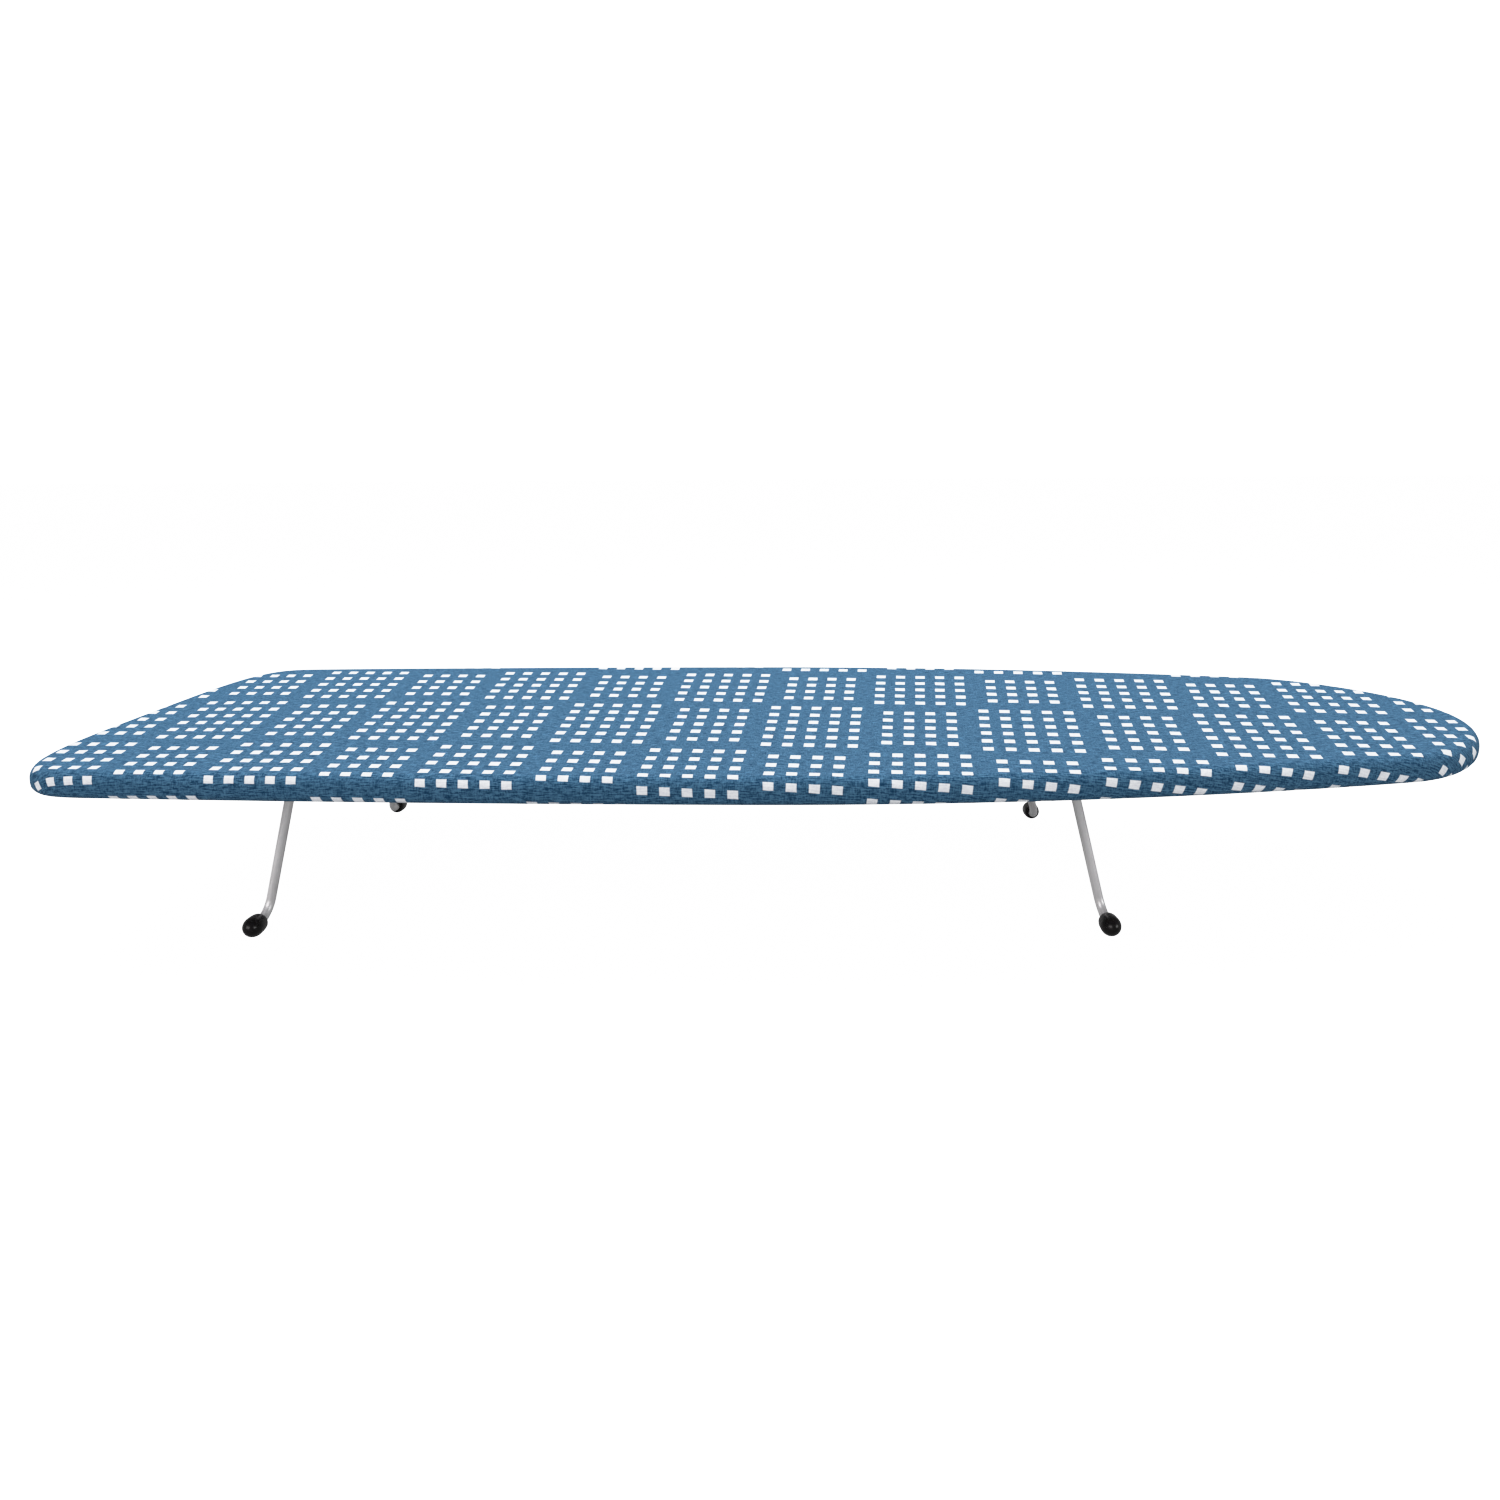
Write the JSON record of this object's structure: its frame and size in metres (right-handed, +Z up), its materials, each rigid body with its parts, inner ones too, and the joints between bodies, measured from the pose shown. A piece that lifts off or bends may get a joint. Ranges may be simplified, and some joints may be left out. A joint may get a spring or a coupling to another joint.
{
  "type": "tabletop ironing board",
  "caption": "Low tabletop ironing board: padded fabric-covered board with a square tail and round nose, on two folding wire legs with capped feet.",
  "frame": {"origin": "on the table, under the middle of the board's bounding box", "axes": "+X along the board from its square tail to its round nose, +Y to the left side, +Z up"},
  "size_m": [0.73, 0.3198, 0.092],
  "materials": {
    "cover_fabric": "printed plain-weave cotton, blue with white squares",
    "hem_tape": "blue woven binding",
    "elastic": "braided elastic cord",
    "pad_felt": "needled felt",
    "mesh_steel": "grey powder coat",
    "frame_steel": "grey powder coat",
    "leg_wire": "drawn and galvanised wire, satin",
    "bracket_zinc": "zinc plated",
    "rivet_zinc": "zinc plated",
    "foot_cap": "black moulded, soft sheen"
  },
  "bodies": {
    "board": {"cover": "cover_fabric", "hem": "hem_tape", "hem_elastic": "elastic", "pad": "pad_felt", "mesh_top": "mesh_steel", "rim": "frame_steel", "spine": "frame_steel", "rear_rail": "frame_steel", "front_rail": "frame_steel", "rear_left_saddle": "bracket_zinc", "rear_left_stop": "bracket_zinc", "rear_left_aft_rivet": "rivet_zinc", "rear_left_fore_rivet": "rivet_zinc", "rear_right_saddle": "bracket_zinc", "rear_right_stop": "bracket_zinc", "rear_right_aft_rivet": "rivet_zinc", "rear_right_fore_rivet": "rivet_zinc", "front_left_saddle": "bracket_zinc", "front_left_stop": "bracket_zinc", "front_left_aft_rivet": "rivet_zinc", "front_left_fore_rivet": "rivet_zinc", "front_right_saddle": "bracket_zinc", "front_right_stop": "bracket_zinc", "front_right_aft_rivet": "rivet_zinc", "front_right_fore_rivet": "rivet_zinc"},
    "rear_leg": {"rear_leg": "leg_wire", "rear_left_foot": "foot_cap", "rear_right_foot": "foot_cap"},
    "front_leg": {"front_leg": "leg_wire", "front_left_foot": "foot_cap", "front_right_foot": "foot_cap"}
  },
  "joints": [
    {"name": "rear_leg_fold", "type": "hinge", "parent": "board", "child": "rear_leg", "pos_m": [-0.2426, 0, 0.08112], "axis": [0, -1, 0], "range_deg": [0, 104]},
    {"name": "front_leg_fold", "type": "hinge", "parent": "board", "child": "front_leg", "pos_m": [0.1384, 0, 0.08112], "axis": [0, 1, 0], "range_deg": [0, 104]}
  ]
}
